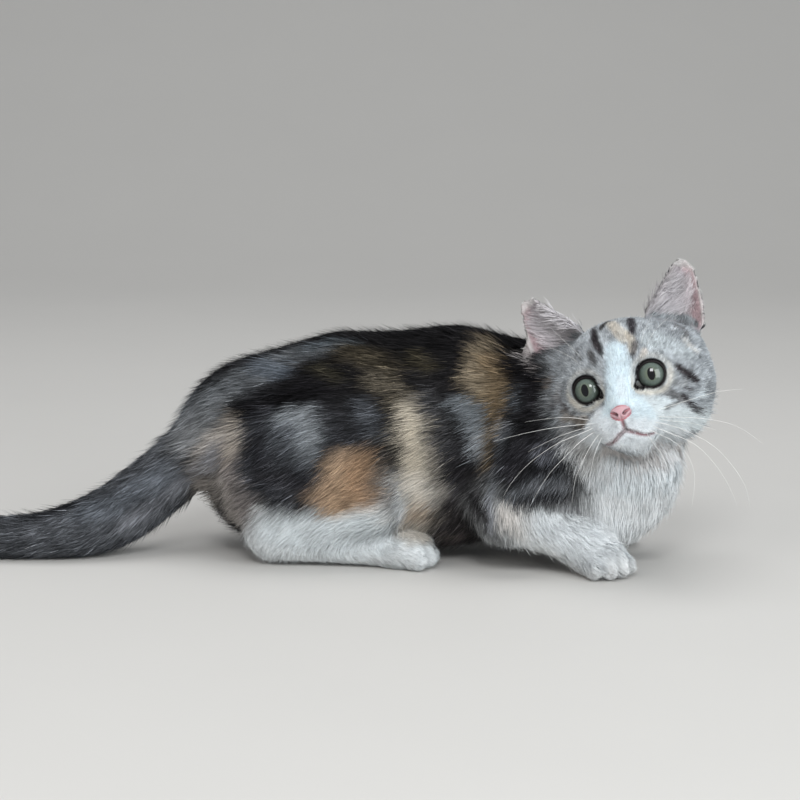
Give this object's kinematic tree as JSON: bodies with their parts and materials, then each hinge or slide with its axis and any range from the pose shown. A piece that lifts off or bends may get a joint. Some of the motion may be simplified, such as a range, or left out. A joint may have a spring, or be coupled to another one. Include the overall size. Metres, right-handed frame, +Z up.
{
  "type": "munchkin cat",
  "caption": "Still, life-size munchkin kitten, crouching on short legs with its head turned back over its right side and its tail laid out behind.",
  "frame": {"origin": "on the floor, under the middle of the model's bounding box", "axes": "+X towards the breast (the tail lies towards -X), +Y to the kitten's left, +Z up; the right side and the face look towards -Y"},
  "size_m": [0.3672, 0.1252, 0.1353],
  "materials": {
    "coat_black": "fur, near black with brown ticking",
    "coat_silver": "fur, silver streaked with black",
    "coat_grey": "fur, dark grey with silver streaks",
    "coat_patched": "fur, black with orange and cream patches",
    "coat_white": "fur, white",
    "nose_leather": "moist pink skin",
    "eyeball": "grey-green iris with a dark upright pupil under a clear cornea"
  },
  "bodies": {
    "root": {"breast": "coat_white", "ear_left": "coat_silver", "ear_right": "coat_silver", "eye_left": "eyeball", "eye_right": "eyeball", "foreleg_left": "coat_grey", "foreleg_right": "coat_grey", "forepaw_left": "coat_white", "forepaw_right": "coat_white", "head": "coat_silver", "hindpaw_left": "coat_white", "hindpaw_right": "coat_white", "loin": "coat_patched", "neck": "coat_black", "nose": "nose_leather", "rib_cage": "coat_black", "rump": "coat_silver", "shank_left": "coat_white", "shank_right": "coat_white", "tail_base": "coat_grey", "tail_middle": "coat_grey", "tail_tip": "coat_grey", "thigh_left": "coat_grey", "thigh_right": "coat_grey"}
  },
  "joints": []
}
